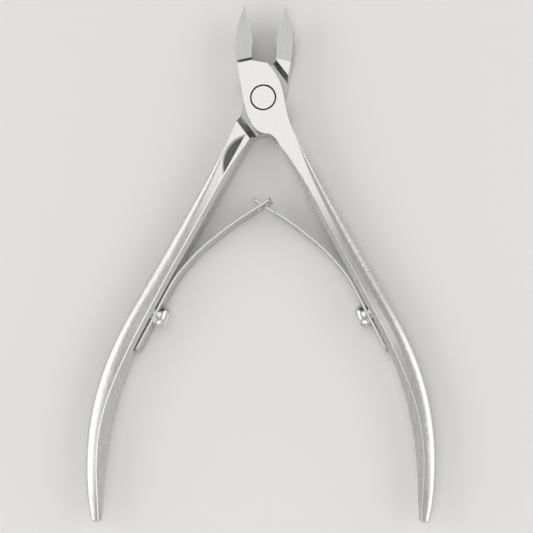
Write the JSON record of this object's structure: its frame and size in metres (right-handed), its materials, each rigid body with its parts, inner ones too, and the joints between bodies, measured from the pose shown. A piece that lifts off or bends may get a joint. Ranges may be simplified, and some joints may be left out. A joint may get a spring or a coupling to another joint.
{
  "type": "cuticle nipper",
  "caption": "Hand nipper with a lap joint, short pointed cutting jaws, long curved handles and interlocking leaf springs that hold it open.",
  "frame": {"origin": "on the pivot's axis, on the flat underside of the lap joint", "axes": "+Y towards the jaws, with the handles towards -Y; +Z along the pivot's axis towards the rivet's head; +X to the right seen from the rivet's head"},
  "size_m": [0.0746, 0.112, 0.0064],
  "materials": {
    "lever_steel": "satin polished stainless",
    "pivot_steel": "satin, ground flush with the joint",
    "spring_steel": "rolled strip, satin",
    "screw_steel": "turned and polished"
  },
  "bodies": {
    "back_lever_body": {"back_lever": "lever_steel", "pivot_pin": "pivot_steel", "left_spring_foot": "spring_steel", "left_spring_screw": "screw_steel"},
    "front_lever_body": {"front_lever": "lever_steel", "right_spring_foot": "spring_steel", "right_spring_screw": "screw_steel"},
    "left_blade_body": {"left_spring_blade": "spring_steel"},
    "right_blade_body": {"right_spring_blade": "spring_steel"}
  },
  "joints": [
    {"name": "lever_pivot", "type": "hinge", "parent": "back_lever_body", "child": "front_lever_body", "pos_m": [0, 0, 0.0032], "axis": [0, 0, -1], "range_deg": [0, 23.3], "stiffness_Nm_per_rad": 0.8},
    {"name": "left_spring_flex", "type": "hinge", "parent": "back_lever_body", "child": "left_blade_body", "pos_m": [-0.01866, -0.03896, 0.0032], "axis": [0, 0, 1], "range_deg": [0, 13.28]},
    {"name": "right_spring_flex", "type": "hinge", "parent": "front_lever_body", "child": "right_blade_body", "pos_m": [0.01866, -0.03896, 0.0032], "axis": [0, 0, -1], "range_deg": [0, 13.28]}
  ],
  "couplings": [
    {"joint": "left_spring_flex", "follows": "lever_pivot", "ratio": 0.5527},
    {"joint": "right_spring_flex", "follows": "lever_pivot", "ratio": 0.5527}
  ]
}
